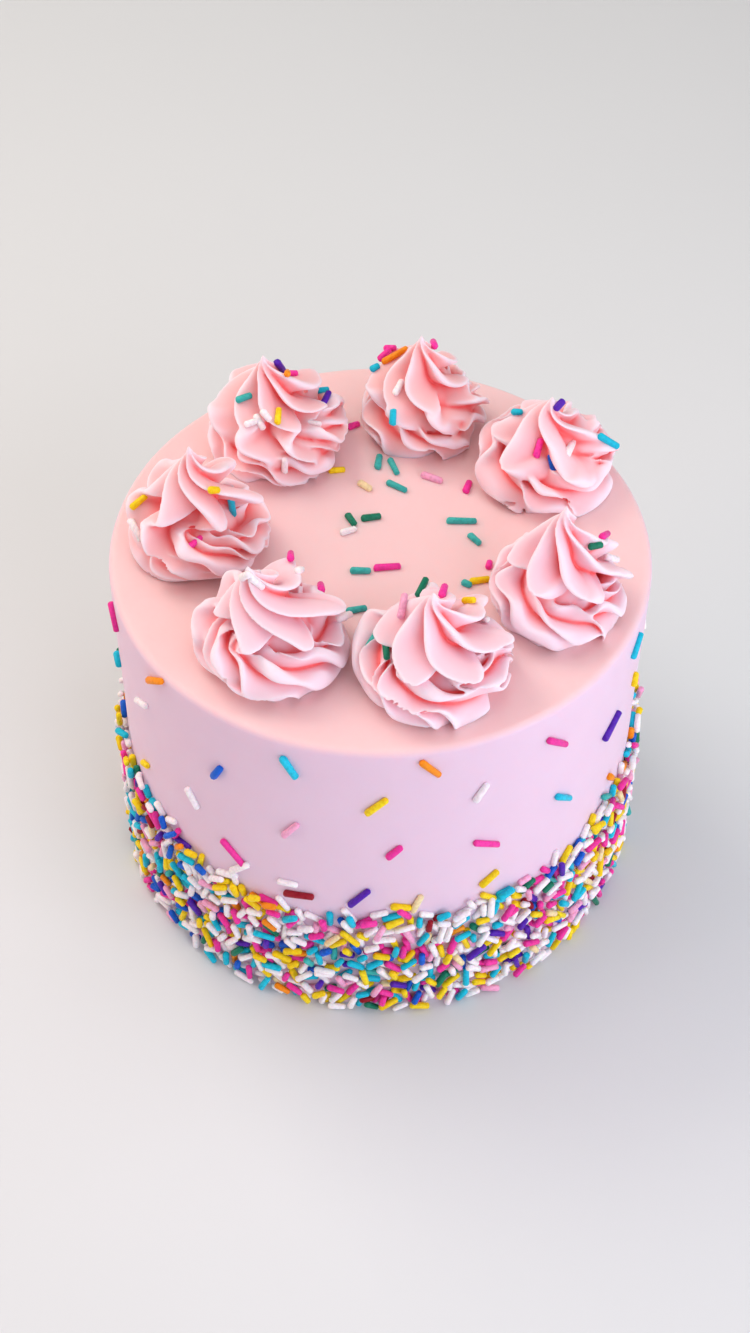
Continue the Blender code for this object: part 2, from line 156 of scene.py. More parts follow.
# Sprinkles on the swirls: colour, pixel x and y in the photograph, turn there, and length
SWIRL_SPRINKLES = [
    ("purple", 278, 365, -50, 6), ("orange", 290, 362, 80, 4), ("pink", 288, 375, 0, 7),
    ("turquoise", 322, 392, 10, 5), ("purple", 326, 400, 65, 6), ("teal", 244, 398, 20, 6),
    ("yellow", 277, 417, 85, 6), ("white", 266, 416, -50, 5), ("white", 259, 423, -60, 6),
    ("white", 252, 423, 20, 6), ("white", 313, 424, -10, 6), ("white", 283, 467, 88, 9),
    ("pink", 372, 347, 45, 6), ("pink", 390, 349, 0, 5), ("orange", 396, 356, 30, 10),
    ("turquoise", 375, 369, 30, 4), ("pink", 433, 341, 80, 6), ("white", 398, 388, 62, 6),
    ("turquoise", 392, 417, 88, 6), ("turquoise", 518, 413, 0, 4), ("purple", 558, 404, 45, 5),
    ("pink", 537, 448, 75, 7), ("blue", 552, 464, -78, 7), ("white", 568, 448, 65, 10),
    ("turquoise", 607, 442, -30, 8), ("pink", 622, 526, 45, 7), ("green", 595, 544, 10, 5),
    ("white", 622, 558, -5, 7), ("green", 423, 589, 65, 7), ("pink", 443, 593, 75, 6),
    ("yellow", 470, 602, 0, 5), ("white", 484, 620, -15, 7), ("teal", 373, 637, 60, 10),
    ("green", 386, 649, -85, 8), ("rose", 404, 607, 80, 8), ("white", 247, 575, 30, 6),
    ("white", 255, 582, -40, 6), ("pink", 291, 556, 88, 7), ("white", 305, 563, 20, 4),
    ("pink", 329, 583, 60, 6), ("yellow", 139, 502, 40, 7), ("yellow", 213, 491, 0, 4),
    ("turquoise", 233, 502, -80, 10), ("pink", 191, 545, 40, 8), ("white", 138, 529, -60, 8),
    ("white", 343, 618, 20, 7),
]


def around(azimuth, radius):
    """The x and y of a point at an azimuth and a distance from the axis"""
    angle = math.radians(azimuth)
    return radius * math.sin(angle), -radius * math.cos(angle)


# Node trees

class Link:
    """A socket that can stand in a Python expression: each operator adds its Math node"""

    def __init__(self, graph, socket):
        self.graph = graph
        self.socket = socket

    def __add__(self, other):
        return self.graph.math("ADD", self, other)

    def __sub__(self, other):
        return self.graph.math("SUBTRACT", self, other)

    def __rsub__(self, other):
        return self.graph.math("SUBTRACT", other, self)

    def __mul__(self, other):
        return self.graph.math("MULTIPLY", self, other)

    def __truediv__(self, other):
        return self.graph.math("DIVIDE", self, other)

    def __pow__(self, other):
        return self.graph.math("POWER", self, other)

    __radd__ = __add__
    __rmul__ = __mul__


class Graph:
    """A node tree under construction"""

    def __init__(self, tree):
        self.tree = tree

    def join(self, value, socket):
        if isinstance(value, Link):
            self.tree.links.new(value.socket, socket)
        else:
            socket.default_value = value

    def add(self, kind, *terms, **values):
        """Add a node and give its outputs by name: terms fill its sockets in their order, a
        capital name is a socket, and any other a setting of the node"""
        node = self.tree.nodes.new(kind)
        for name, value in values.items():
            if name == "curve":
                draw_curve(node, value)
            elif name.islower():
                setattr(node, name, value)
        for place, value in enumerate(terms):
            self.join(value, node.inputs[place])
        for name, value in values.items():
            if not name.islower():
                label = name.replace("_", " ")
                self.join(value, next(s for s in node.inputs if s.enabled and s.name == label))
        return {s.name: Link(self, s) for s in reversed(node.outputs) if s.enabled}

    def shape(self, kind, **values):
        """Add a geometry node, and give its geometry"""
        return self.add("GeometryNode" + kind, **values)["Geometry"]

    def math(self, operation, *terms):
        return self.add("ShaderNodeMath", *terms, operation=operation)["Value"]

    def ease(self, value, start, end):
        """0 before start, 1 after end, and a smooth rise between them"""
        return self.add("ShaderNodeMapRange", Value=value, From_Min=start, From_Max=end,
                        interpolation_type="SMOOTHSTEP")["Result"]

    def curve(self, value, stops):
        """A smooth curve through (place, value) stops, both from 0 to 1"""
        return self.add("ShaderNodeFloatCurve", Value=value, curve=stops)["Value"]

    def vector(self, x, y, z):
        return self.add("ShaderNodeCombineXYZ", x, y, z)["Vector"]

    def split(self, vector):
        return self.add("ShaderNodeSeparateXYZ", vector)

    def vector_sum(self, first, second):
        return self.add("ShaderNodeVectorMath", first, second, operation="ADD")["Vector"]

    def colour_mix(self, factor, first, second, blend="MIX"):
        return self.add("ShaderNodeMix", Factor=factor, A=first, B=second, data_type="RGBA",
                        blend_type=blend)["Result"]

    def noise(self, vector, scale, detail):
        return self.add("ShaderNodeTexNoise", Vector=vector, Scale=scale, Detail=detail)["Fac"]

    def bump(self, strength, distance, height):
        return self.add("ShaderNodeBump", Strength=strength, Distance=distance,
                        Height=height)["Normal"]

    def attribute(self, name):
        return self.add("ShaderNodeAttribute", attribute_name=name)["Fac"]


def draw_curve(node, stops):
    """Lay a Float Curve through its stops"""
    points = node.mapping.curves[0].points
    points[0].location = stops[0]
    points[-1].location = stops[-1]
    for stop in stops[1:-1]:
        points.new(*stop)
    node.mapping.update()


def geometry_tree(name, inputs):
    """A Geometry Nodes tree with named inputs, as a graph and its input sockets by name"""
    tree = bpy.data.node_groups.new(name, "GeometryNodeTree")
    tree.interface.new_socket("Geometry", in_out="INPUT", socket_type="NodeSocketGeometry")
    for kind, labels in inputs.items():
        for label in labels:
            tree.interface.new_socket(label, in_out="INPUT", socket_type="NodeSocket" + kind)
    tree.interface.new_socket("Geometry", in_out="OUTPUT", socket_type="NodeSocketGeometry")
    graph = Graph(tree)
    return graph, graph.add("NodeGroupInput")


def end_tree(graph, geometry, material):
    """Finish a tree with Realize Instances and Set Material"""
    real = graph.shape("RealizeInstances", Geometry=geometry)
    done = graph.shape("SetMaterial", Geometry=real, Material=material)
    graph.add("NodeGroupOutput", Geometry=done)


def run_tree(piece, graph, values):
    """Add the tree to an object as a modifier and set its inputs by their identifiers"""
    nodes = piece.modifiers.new("shape", "NODES")
    nodes.node_group = graph.tree
    for socket in graph.tree.interface.items_tree:
        if socket.in_out == "INPUT" and socket.name in values:
            nodes[socket.identifier] = values[socket.name]


def bake_modifiers(piece):
    """Turn what the modifiers give into the object's own plain mesh"""
    bpy.context.view_layer.update()
    graph = bpy.context.evaluated_depsgraph_get()
    mesh = bpy.data.meshes.new_from_object(piece.evaluated_get(graph))
    piece.modifiers.clear()
    piece.data = mesh
    return mesh


def new_piece(name, data):
    """A named object for a mesh, lamp or camera, linked to the scene"""
    piece = bpy.data.objects.new(name, data)
    bpy.context.scene.collection.objects.link(piece)
    return piece


def finish_piece(piece, node=None):
    """Ride on the cake's body, and stand for a CAD node"""
    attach(piece, BODY)
    if node:
        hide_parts(node)


def shader_graph(name):
    """A new material, its graph and the Object coordinates in it"""
    material = bpy.data.materials.new(name)
    material.use_nodes = True
    graph = Graph(material.node_tree)
    return material, graph, graph.add("ShaderNodeTexCoord")["Object"]


def finish_material(material, graph, values):
    """Set the shader's sockets by their names, each to a link or a constant"""
    shader = material.node_tree.nodes["Principled BSDF"]
    for name, value in values.items():
        graph.join(value, shader.inputs[name])
    return material


def read(items, name, width, kind=float):
    """A property of all of a mesh's items, a row for each"""
    values = np.empty(len(items) * width, dtype=kind)
    items.foreach_get(name, values)
    return values.reshape(-1, width)


def store(mesh, name, values, kind="FLOAT"):
    """Store a value, or a vector's three, for each vertex"""
    layer = mesh.attributes.new(name, kind, "POINT")
    layer.data.foreach_set("vector" if kind == "FLOAT_VECTOR" else "value", values)


def smooth_shade(mesh):
    mesh.polygons.foreach_set("use_smooth", [True] * len(mesh.polygons))
    mesh.update()


# Icing

def icing_material(name, base, deep, pale, painted_cool_tone, look):
    """Buttercream: painted highlight makes it pale where it stands out, painted shade makes it deeper
    pink in its folds, finely pitted
    """
    material, graph, place = shader_graph(name)
    fold = graph.attribute("fold")
    broad = graph.noise(place, BLOTCHES, 3.0)
    fine = graph.noise(place, PITS, 2.0)
    # Painted light: a stored share tints the icing towards the cool fill light's colour, in place of
    # that light
    base = graph.colour_mix(graph.attribute("lilac"), base, painted_cool_tone)
    # Painted shade: the deeper tone goes where the mask is low, in the swirls' folds; on the cake the
    # same mix paints the cool light on the side
    tone = graph.colour_mix(graph.ease(fold, 0.60, 0.0), base, deep)
    # Painted highlight: the pale tone goes on the rims that stand out
    tone = graph.colour_mix(graph.ease(fold, 0.55, 1.0), tone, pale)
    shade = graph.colour_mix(broad, (1, 1, 1, 1), look.blotch_tint)
    return finish_material(material, graph, {
        "Base Color": graph.colour_mix(1.0, tone, shade, "MULTIPLY"),
        "Roughness": 0.42 + 0.16 * broad + 0.06 * fine,
        "Normal": graph.bump(look.bump, 0.2 * MM, 0.7 * broad + 0.3 * fine),
        "Subsurface Weight": look.subsurface,
        "Subsurface Radius": look.subsurface_reach,
        "Subsurface Scale": look.subsurface_scale,
        "Specular IOR Level": 0.35,
    })


# A fold shows against a smoothed copy: the rounds, the share of each, and a full fold's depth
FOLD_ROUNDS = 150
SMOOTHING = 0.7
FOLD_REACH = 1.2 * MM


def store_fold(mesh, rounds, reach):
    """Store on each vertex how far it stands out (1) or lies in a fold (0), with 0.5 between, as the
    mask for the painted shade and highlight
    """
    count = len(mesh.vertices)
    place = read(mesh.vertices, "co", 3)
    normal = read(mesh.vertices, "normal", 3)
    first, second = read(mesh.edges, "vertices", 2, np.int64).T
    degree = np.bincount(np.append(first, second), minlength=count)[:, None].clip(1)
    smooth = place.copy()
    for _ in range(rounds):
        total = np.zeros_like(smooth)
        for axis in range(3):
            total[:, axis] = np.bincount(first, smooth[second, axis], count)
            total[:, axis] += np.bincount(second, smooth[first, axis], count)
        smooth = (1 - SMOOTHING) * smooth + SMOOTHING * total / degree
    height = ((place - smooth) * normal).sum(1)
    store(mesh, "fold", (0.5 + 0.5 * np.clip(height / reach, -1, 1)).astype(np.float32))


class CakeLook(bpy.types.PropertyGroup):
    """Sizes of the iced cake and colours of its icing"""

    radius: FloatProperty(
        name="Radius", description="Radius of the iced side", unit="LENGTH", default=CAKE_RADIUS)
    height: FloatProperty(
        name="Height", description="Height of the flat top", unit="LENGTH", default=CAKE_HEIGHT)
    rim: FloatProperty(
        name="Rim", description="Radius of the rounded top edge", unit="LENGTH", default=2.2 * MM)
    waviness: FloatProperty(
        name="Waviness", description="How far the spatula left the side uneven", unit="LENGTH",
        default=0.25 * MM)
    colour: FloatVectorProperty(
        name="Icing", description="Colour of the smooth icing", subtype="COLOR", size=4,
        default=(0.925, 0.655, 0.638, 1))
    # Painted light: the side's cooler, more violet tone stands in for the cool fill light on the side,
    # as the icing is the same all over
    painted_side_light: FloatVectorProperty(
        name="Side", description="Colour of the icing on the side", subtype="COLOR", size=4,
        default=(0.825, 0.635, 0.762, 1))
    blotch_tint: FloatVectorProperty(
        name="Blotches", description="Tint of the faint blotches", subtype="COLOR", size=4,
        default=(0.97, 0.95, 0.96, 1))
    bump: FloatProperty(name="Bump", description="Strength of the fine relief", default=0.12)
    subsurface: FloatProperty(
        name="Glow", description="Share of light that passes through", subtype="FACTOR", default=0.45)
    subsurface_reach: FloatVectorProperty(
        name="Glow reach", description="Reach of each colour", size=3, default=(1.0, 0.45, 0.40))
    subsurface_scale: FloatProperty(
        name="Glow depth", description="Depth that light reaches", unit="LENGTH", default=5 * MM)


# Where the rings of points lie on the underside, the rim and the top, and the foot's bevel
UNDER_RINGS = (0.25, 0.5, 0.75, 0.95)
RIM_TURNS = range(0, 91, 15)
TOP_RINGS = (0.985, 0.95, 0.9, 0.8, 0.65, 0.5, 0.3, 0.1)
BEVEL = 0.4 * MM


def cake_outline(look):
    """The iced cake's outline from its axis below to its axis on top, as (radius, height)"""
    outline = [(look.radius * share, 0.0) for share in UNDER_RINGS]
    outline += [(look.radius - BEVEL, 0.0), (look.radius, BEVEL)]
    wall = look.height - look.rim
    outline += [(look.radius, wall * row / CAKE_ROWS) for row in range(1, CAKE_ROWS)]
    for angle in map(math.radians, RIM_TURNS):
        outline.append((look.radius - look.rim * (1 - math.cos(angle)),
                        wall + look.rim * math.sin(angle)))
    return outline + [((look.radius - look.rim) * share, look.height) for share in TOP_RINGS]


# Each wave on the icing: its size, how many go round, its slant and where it starts
SPATULA_WAVES = ((1.0, 3, 31, 0), (0.7, 5, -47, 1.3), (0.5, 11, 90, 0.4))
# The share of the waves that the top has
TOP_SHARE = 0.35


def spatula_waves(angle, height, radius, look):
    """Slow waves that a spatula leaves on the side, and fainter ones on the top"""
    waves = sum(size * np.sin(count * angle + slant * height + start)
                for size, count, slant, start in SPATULA_WAVES)
    waves = waves / sum(size for size, *_ in SPATULA_WAVES)
    return look.waviness * waves * np.clip(radius / look.radius, 0, 1) ** 2


class CAKE_OT_iced_cake(bpy.types.Operator):
    """Build the iced cake, a turned body with a spatula's slow waves"""

    bl_idname = "cake.iced_cake"
    bl_label = "Iced cake"

    def execute(self, context):
        look = context.scene.cake_look
        outline = np.array(cake_outline(look))
        angle = np.linspace(0, TAU, CAKE_SEGMENTS, endpoint=False)[None, :]
        radius = outline[:, 0:1] + 0 * angle
        height = outline[:, 1:2] + 0 * angle
        wave = spatula_waves(angle, height, radius, look)
        on_wall = (height > 0) & (height < look.height)
        radius = radius + np.where(on_wall | (radius > 0.98 * look.radius), wave, 0)
        lifted = np.where(height >= look.height, TOP_SHARE * wave, 0)
        points = np.stack([radius * np.sin(angle), -radius * np.cos(angle), height + lifted], -1)
        mesh = closed_skin("iced_cake", points)
        smooth_shade(mesh)
        store_top(mesh, look)
        piece = new_piece("iced_cake", mesh)
        # The side's painted cool light goes in as the tone where the top's mask is low
        material = icing_material("smooth_icing", look.colour, look.painted_side_light, look.colour,
                                  look.colour, look)
        mesh.materials.append(material)
        finish_piece(piece, "cake")
        return {"FINISHED"}


def store_top(mesh, look):
    """Store on each vertex 0.5 on the flat top and 0 on the side, for the icing's tone: the side gets
    the painted cool light
    """
    height = read(mesh.vertices, "co", 3)[:, 2]
    share = np.clip((height - look.height + look.rim) / look.rim, 0, 1)
    store(mesh, "fold", (0.5 * share).astype(np.float32))


def closed_skin(name, points):
    """A closed mesh over rings of points, with a centre point at each end"""
    rings, sides = points.shape[:2]
    index = np.arange(rings * sides).reshape(rings, sides)
    after = np.roll(index, -1, 1)
    quads = np.stack([index[:-1], after[:-1], after[1:], index[1:]], -1).reshape(-1, 4)
    low = rings * sides
    high = low + 1
    ends = [(low, b, a) for a, b in zip(index[0], after[0])]
    ends += [(high, a, b) for a, b in zip(index[-1], after[-1])]
    places = points.reshape(-1, 3).tolist()
    places += [points[0].mean(0).tolist(), points[-1].mean(0).tolist()]
    mesh = bpy.data.meshes.new(name)
    mesh.from_pydata(places, [], quads.tolist() + [tuple(map(int, end)) for end in ends])
    mesh.update()
    return mesh


# Swirls

class SwirlLook(bpy.types.PropertyGroup):
    """Sizes of the piped swirls"""

    foot: FloatProperty(
        name="Foot", description="Height of the rope's first turn", unit="LENGTH", default=5.5 * MM)
    ring: FloatProperty(
        name="Ring", description="Radius of the rope's first turn", unit="LENGTH", default=12.8 * MM)
    rope: FloatProperty(
        name="Rope", description="Radius of the rope over its ridges", unit="LENGTH", default=9.2 * MM)
    crown: FloatProperty(
        name="Crown", description="Radius of the crown over its ridges", unit="LENGTH", default=18 * MM)
    crown_share: FloatProperty(
        name="Crown start", description="Share of a swirl's height where its crown starts",
        subtype="FACTOR", min=0, max=1, default=0.5)
    turns: FloatProperty(name="Turns", description="Turns of the rope below the crown", default=1.7)
    twist: FloatProperty(
        name="Twist", description="Turn of the ridges from the crown to the tip", subtype="ANGLE",
        default=math.radians(130))
    foot_ridges: FloatProperty(name="Foot ridges", description="Ridges round the rope", default=10)
    crown_ridges: FloatProperty(name="Crown ridges", description="Ridges round the crown", default=6)
    ruffle: FloatProperty(name="Ruffle", description="How far the foot's ridges wave", default=2.5)
    core: FloatProperty(
        name="Core", description="Radius of the filled middle", unit="LENGTH", default=11.5 * MM)
    voxel: FloatProperty(
        name="Grain", description="Finest detail of the joined skin", unit="LENGTH", default=0.42 * MM)
    sink: FloatProperty(
        name="Sink", description="How far the foot sinks into the cake's icing", unit="LENGTH",
        default=0.4 * MM)
    colour: FloatVectorProperty(
        name="Icing", description="Colour of the piped icing", subtype="COLOR", size=4,
        default=(0.98, 0.56, 0.555, 1))
    # Painted light: swirls that face the cool fill light get this cooler, paler tone in place of that
    # light's tint
    painted_cool_light_colour: FloatVectorProperty(
        name="Lilac", description="Colour of the palest piped icing", subtype="COLOR", size=4,
        default=(0.98, 0.66, 0.725, 1))
    # Painted shade: the deep red in the folds stands in for the shade and scattered light there
    painted_fold_shade: FloatVectorProperty(
        name="Folds", description="Colour in the folds", subtype="COLOR", size=4,
        default=(0.97, 0.18, 0.18, 1))
    # Painted highlight: the pale pink on the thin raised rims stands in for the light that they catch
    painted_rim_highlight: FloatVectorProperty(
        name="Rims", description="Colour of thin raised rims", subtype="COLOR", size=4,
        default=(0.98, 0.82, 0.89, 1))


SWIRL_INPUTS = {
    "Int": ("Steps", "Sides", "Seed"),
    "Float": ("Height", "Foot", "Ring", "Rope", "Crown", "Crown Height", "Turns", "Twist",
              "First Ridge", "Foot Ridges", "Crown Ridges", "Ruffle", "Core", "Width"),
    "Vector": ("Tip Shift", "Place"),
    "Material": ("Material",),
}

# Along the rope: where its crown starts, and where its size, lean and ridges change
CROWN_START = 0.66
SIZE_CHANGE = (0.38, 0.62)
LEAN_CHANGE = (0.34, 0.60)
RIDGE_CHANGE = (0.36, 0.56)
# The radius of the rope's ring, and its rise to the crown, along it
RING_COURSE = [(0, 1), (0.38, 1), (0.52, 0.6), (0.62, 0.2), (0.75, 0.05), (1, 0)]
RISE_COURSE = [(0, 0), (0.25, 0.08), (0.42, 0.35), (0.55, 0.75), (0.64, 1), (1, 1)]
# A ridge from its rim, down its long hollow side and up its steep side to the next rim
FOOT_RIDGE = [(0, 1), (0.08, 0.96), (0.19, 0.78), (0.33, 0.38), (0.52, 0.06), (0.65, 0.0),
              (0.77, 0.26), (0.86, 0.72), (0.92, 0.95), (1, 1)]
CROWN_RIDGE = [(0, 1), (0.07, 0.97), (0.16, 0.84), (0.30, 0.50), (0.52, 0.16), (0.71, 0.02),
               (0.81, 0.20), (0.88, 0.66), (0.93, 0.93), (1, 1)]
# The ridges' depth in rope radii, at the foot and in the crown
RIDGE_DEPTHS = (0.66, 0.78)
# How unevenly the ridges stand, and how far they drift along the foot
UNEVENNESS = (0.16, 0.08)
DRIFT = 2.6
# Each of two kinds of unevenness: its scale round the rope and its pace along it
WANDER = (0.9, 1.6)
WAVE = (1.0, 13)
ROPE_LEAN = 35
TAPER = 1.35
TIP_SIZE = 0.3 * MM
SWAY = 0.22
SWAY_PACE = 7


def swirl_tree():
    """A rope of star section, laid in a ring on the cake and then drawn up to a tip"""
    graph, given = geometry_tree("piped_swirl", SWIRL_INPUTS)
    sheet = graph.add("GeometryNodeMeshGrid", 1.0, TAU, given["Steps"], given["Sides"])["Mesh"]
    place = graph.split(graph.add("GeometryNodeInputPosition")["Position"])
    along = place["X"] + 0.5
    section = place["Y"] + math.pi

    def draw(number):
        name = graph.add("FunctionNodeInputInt", integer=number)["Integer"]
        return graph.add("FunctionNodeRandomValue", Max=TAU, ID=name, Seed=given["Seed"],
                         data_type="FLOAT")["Value"]

    # The rope's course: heading, distance from the swirl's axis, height and size
    laid = graph.math("MINIMUM", along / CROWN_START, 1.0)
    heading = given["First Ridge"] - TAU * given["Turns"] * laid
    climb = graph.math("MAXIMUM", (along - CROWN_START) / (1 - CROWN_START), 0.0)
    ring = given["Ring"] * graph.curve(along, RING_COURSE)
    rise = graph.curve(along, RISE_COURSE)
    level = given["Foot"] + (given["Crown Height"] - given["Foot"]) * rise
    level = level + (given["Height"] - given["Crown Height"]) * climb
    swell = graph.ease(along, *SIZE_CHANGE)
    size = given["Rope"] + (given["Crown"] - given["Rope"]) * swell
    size = size * (0.5 + 0.5 * graph.ease(along, 0.0, 0.08)) * graph.ease(along, -0.004, 0.004)
    size = size * (1 - climb) ** TAPER + TIP_SIZE * graph.ease(along, 1.0, 0.995)
    upright = math.radians(90 - ROPE_LEAN) * graph.ease(along, *LEAN_CHANGE)
    tilt = math.radians(ROPE_LEAN) + upright

    # Uneven ridges
    def wavering(kind, number):
        """Smooth noise over the rope, from -0.5 to 0.5"""
        scale, pace = kind
        spot = graph.vector(graph.math("COSINE", section), graph.math("SINE", section),
                            along * given["Turns"] * pace + draw(number))
        return graph.noise(spot, scale, 0.0) - 0.5

    uneven = section + UNEVENNESS[0] * graph.math("SINE", section + draw(1))
    uneven = uneven + UNEVENNESS[1] * graph.math("SINE", 2 * section + draw(2))
    wander = wavering(WANDER, 3)
    wave = wavering(WAVE, 5)
    upper = graph.ease(along, *RIDGE_CHANGE)
    foot_phase = given["Foot Ridges"] * uneven / TAU + DRIFT * wander * (1 - upper)
    crown_phase = given["Crown Ridges"] * uneven / TAU
    foot = graph.curve(graph.math("FRACT", foot_phase), FOOT_RIDGE)
    crown = graph.curve(graph.math("FRACT", crown_phase), CROWN_RIDGE)
    crest = foot + (crown - foot) * upper
    depth = RIDGE_DEPTHS[0] + (RIDGE_DEPTHS[1] - RIDGE_DEPTHS[0]) * upper
    reach = size * (1 - depth + depth * crest * (1 + 0.4 * wander + 0.4 * wave * (1 - upper)))
    ruffle = given["Ruffle"] * wave * graph.ease(along, 0.02, 0.1)
    lean = (0.2 + ruffle) * (1 - upper)
    sway = SWAY * upper * graph.math("SINE", SWAY_PACE * climb + draw(4))
    twist = sway - given["Twist"] * climb
    angle = section - lean * crest + twist - heading

    # The skin: each ring of points stands across the rope, and lies level in the crown
    cos_heading = graph.math("COSINE", heading)
    sin_heading = graph.math("SINE", heading)
    out = reach * graph.math("COSINE", angle)
    across = reach * graph.math("SINE", angle)
    flat = -1 * across * graph.math("SINE", tilt)
    x = (ring + out) * cos_heading + flat * sin_heading
    y = (ring + out) * sin_heading - flat * cos_heading
    z = level + across * graph.math("COSINE", tilt)
    z = graph.math("MAXIMUM", z, 0.0)
    lift = graph.ease(z / given["Height"], 0.55, 1.0)
    point = graph.vector(x * given["Width"], y * given["Width"], z)
    shift = graph.add("ShaderNodeVectorMath", given["Tip Shift"], Scale=lift, operation="SCALE")
    point = graph.vector_sum(point, shift["Vector"])
    point = graph.vector_sum(point, given["Place"])
    moved = graph.shape("SetPosition", Geometry=sheet, Position=point)
    sewn = graph.shape("MergeByDistance", Geometry=moved, Distance=0.001 * MM)

    # The icing that fills the hollow inside the rope's turns
    ball = graph.add("GeometryNodeMeshUVSphere", Radius=given["Core"])["Mesh"]
    middle = graph.vector_sum(graph.vector(0.0, 0.0, given["Core"] * 0.8), given["Place"])
    core = graph.shape("Transform", Geometry=ball, Translation=middle)
    whole = graph.shape("JoinGeometry", Geometry=sewn)
    graph.join(core, whole.socket.node.inputs["Geometry"])
    end_tree(graph, whole, given["Material"])
    return graph


def outer_shell_tree():
    """Keep only the largest closed skin, so that no sealed hollow stays inside"""
    graph, given = geometry_tree("outer_shell", {})
    island = graph.add("GeometryNodeInputMeshIsland")
    size = graph.add("GeometryNodeAccumulateField", Value=1.0, Group_ID=island["Island Index"],
                     data_type="FLOAT")["Total"]
    most = graph.add("GeometryNodeAttributeStatistic", Geometry=given["Geometry"],
                     Attribute=size, data_type="FLOAT")["Max"]
    smaller = graph.math("LESS_THAN", size, most)
    kept = graph.shape("DeleteGeometry", Geometry=given["Geometry"], Selection=smaller)
    graph.add("NodeGroupOutput", Geometry=kept)
    return graph


def swirl_values(look, number, swirl, material):
    """The tree's inputs for one swirl: those that all share come from the look by their names"""
    _, azimuth, distance, width, height, shift, first, _ = swirl
    x, y = around(azimuth, distance * MM)
    shared = {label: getattr(look, label.lower().replace(" ", "_"), 0.0)
              for label in SWIRL_INPUTS["Float"]}
    return shared | {
        "Height": height * MM, "Crown Height": look.crown_share * height * MM,
        "First Ridge": math.radians(first), "Width": width * MM / SWIRL_WIDTH,
        "Tip Shift": (shift[0] * MM, shift[1] * MM, 0.0),
        "Place": (x, y, CAKE_HEIGHT - look.sink), "Steps": ROPE_STEPS, "Sides": ROPE_SIDES,
        "Seed": number, "Material": material,
    }


class CAKE_OT_swirls(bpy.types.Operator):
    """Pipe the seven swirls in a ring on the cake's top"""

    bl_idname = "cake.swirls"
    bl_label = "Piped swirls"

    def execute(self, context):
        cake = context.scene.cake_look
        look = context.scene.swirl_look
        material = icing_material("piped_icing", look.colour, look.painted_fold_shade, look.painted_rim_highlight,
                                  look.painted_cool_light_colour, cake)
        graph = swirl_tree()
        shell = outer_shell_tree()
        for number, swirl in enumerate(SWIRLS, start=1):
            name = swirl[0]
            piece = new_piece("piped_" + name, bpy.data.meshes.new(name))
            run_tree(piece, graph, swirl_values(look, number, swirl, material))
            skin = piece.modifiers.new("skin", "REMESH")
            skin.mode = "VOXEL"
            skin.voxel_size = look.voxel
            run_tree(piece, shell, {})
            soften = piece.modifiers.new("soften", "SMOOTH")
            soften.factor = 0.5
            soften.iterations = SOFTENING
            mesh = bake_modifiers(piece)
            smooth_shade(mesh)
            store_fold(mesh, FOLD_ROUNDS, FOLD_REACH)
            # Painted light: each swirl's share of the cool fill light's tint
            store(mesh, "lilac", [swirl[-1]] * len(mesh.vertices))
            mesh.materials.clear()
            mesh.materials.append(material)
            finish_piece(piece, name)
        return {"FINISHED"}


# Sprinkles

class SprinkleLook(bpy.types.PropertyGroup):
    """Sizes of the sprinkles and of the coat that they make"""

    radius: FloatProperty(
        name="Radius", description="Radius of a sprinkle", unit="LENGTH", default=1.18 * MM)
    coat_radius: FloatProperty(
        name="Coat radius", description="Radius of a sprinkle in the coat", unit="LENGTH",
        default=1.13 * MM)
    coat_top: FloatProperty(
        name="Coat top", description="Height of the coat's ragged edge in front", unit="LENGTH",
        default=48 * MM)
    coat_rise: FloatProperty(
        name="Coat rise", description="How far the edge rises to the sides", unit="LENGTH",
        default=9 * MM)
    seed: IntProperty(name="Seed", description="Seed of the coat", default=7)


# The seed of the sprinkles' bends, thicknesses and tones
ROD_SEED = 21
# How high a loose sprinkle's middle lies over the icing, in sprinkle radii
LOOSE_HEIGHT = 0.55


class Rods:
    """Sprinkles to be made: each has a place, a frame, a length, a bend and a colour"""

    def __init__(self):
        self.rows = {name: [] for name in SPRINKLE_COLOURS}
        self.draw = np.random.default_rng(ROD_SEED)

    def lay(self, colour, point, normal, along, length, height, slim=1.0):
        """Lay a sprinkle on a surface, its middle at a height over the point"""
        up = normal.normalized()
        ahead = (along - up * along.dot(up)).normalized()
        across = up.cross(ahead)
        turn = Matrix((across, up, ahead)).transposed().to_euler()
        bend = abs(self.draw.normal(0, 0.5)) * max(length / (7 * MM) - 0.6, 0)
        thick = slim * self.draw.uniform(0.92, 1.08)
        tint = self.draw.uniform()
        row = (point + up * height, Vector(turn), length, bend, thick, tint)
        self.rows[colour].append(row)


SPRINKLE_INPUTS = {"Float": ("Radius",), "Int": ("Segments", "Rings"), "Material": ("Material",)}


